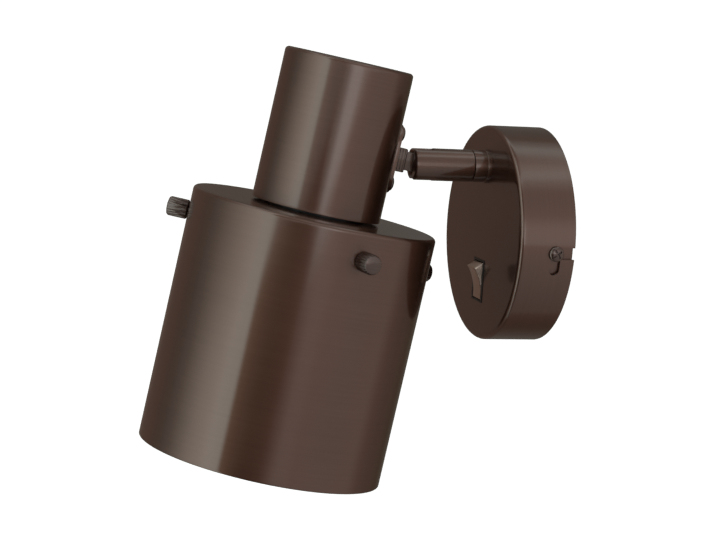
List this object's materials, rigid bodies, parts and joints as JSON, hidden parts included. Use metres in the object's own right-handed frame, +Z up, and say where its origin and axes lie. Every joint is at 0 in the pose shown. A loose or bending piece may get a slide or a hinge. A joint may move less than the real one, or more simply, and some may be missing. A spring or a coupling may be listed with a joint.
{
  "type": "pivoting spotlight wall light",
  "caption": "Wall light with round canopy and rocker switch, swivelling arm, tilting fork joint and a cylindrical open shade under a smaller cap.",
  "frame": {"origin": "centre of the canopy's back, on the wall, midway between the wall-screw slots", "axes": "+Y into the wall, +Z up, +X to the right of someone who stands in the room and faces the wall; the light stands out along -Y"},
  "size_m": [0.1226, 0.1832, 0.199],
  "materials": {
    "bronze": "fine brushed dark bronze plating, satin",
    "dark_bronze": "dark bronze plated steel, semi-gloss",
    "steel": "bright zinc plated sheet",
    "zinc": "zinc plated, turned",
    "brass": "bare pressed brass",
    "black": "moulded, satin black",
    "porcelain": "glazed"
  },
  "bodies": {
    "wall_unit": {"wall_bracket": "bronze", "terminal_block": "porcelain", "terminal_screws": "zinc", "earth_screw": "brass", "canopy": "bronze", "canopy_screws": "dark_bronze", "switch_housing": "black", "switch_tabs": "brass", "base_flange": "bronze", "swivel_collar": "bronze", "base_tube": "zinc", "base_washer": "zinc", "base_nut": "zinc"},
    "rocker": {"switch_rocker": "bronze"},
    "arm": {"arm": "bronze", "arm_grub_screw": "zinc", "pivot_screw": "zinc", "friction_washers": "black"},
    "head": {"tongue": "dark_bronze", "saddle_plate": "bronze", "saddle_screws": "dark_bronze", "knuckle_nut": "zinc", "cap": "bronze", "holder_bracket": "steel", "holder_tube": "zinc", "holder_nut": "zinc", "holder_dome": "black", "holder_skirt": "black", "contact_base": "porcelain", "holder_shell": "brass", "centre_contact": "brass", "shade_ring": "black", "shade_lid": "bronze", "thumb_bushes": "brass", "shade": "bronze"},
    "front_screw": {"thumbscrew_front": "dark_bronze"},
    "side_screw": {"thumbscrew_side": "dark_bronze"},
    "rear_screw": {"thumbscrew_rear": "dark_bronze"}
  },
  "joints": [
    {"name": "arm_swivel", "type": "hinge", "parent": "wall_unit", "child": "arm", "pos_m": [0, -0.035, 0.031], "axis": [0, -1, 0], "range_deg": [-150, 150]},
    {"name": "head_tilt", "type": "hinge", "parent": "arm", "child": "head", "pos_m": [0, -0.059, 0.031], "axis": [-1, 0, 0], "range_deg": [-20, 50]},
    {"name": "rocker_press", "type": "hinge", "parent": "wall_unit", "child": "rocker", "pos_m": [0, -0.024, -0.0225], "axis": [-1, 0, 0], "range_deg": [0, 30]},
    {"name": "front_screw_turn", "type": "hinge", "parent": "head", "child": "front_screw", "pos_m": [0.05729, -0.10122, -0.00618], "axis": [0.9877, 0.1542, -0.0261], "range_deg": [0, 3600]},
    {"name": "side_screw_turn", "type": "hinge", "parent": "head", "child": "side_screw", "pos_m": [-0.02079, -0.16355, 0.00436], "axis": [-0.3584, -0.9205, 0.1557], "range_deg": [0, 3600]},
    {"name": "rear_screw_turn", "type": "hinge", "parent": "head", "child": "rear_screw", "pos_m": [-0.01107, -0.05508, -0.02037], "axis": [-0.1908, 0.9679, -0.1637], "range_deg": [0, 3600]}
  ]
}
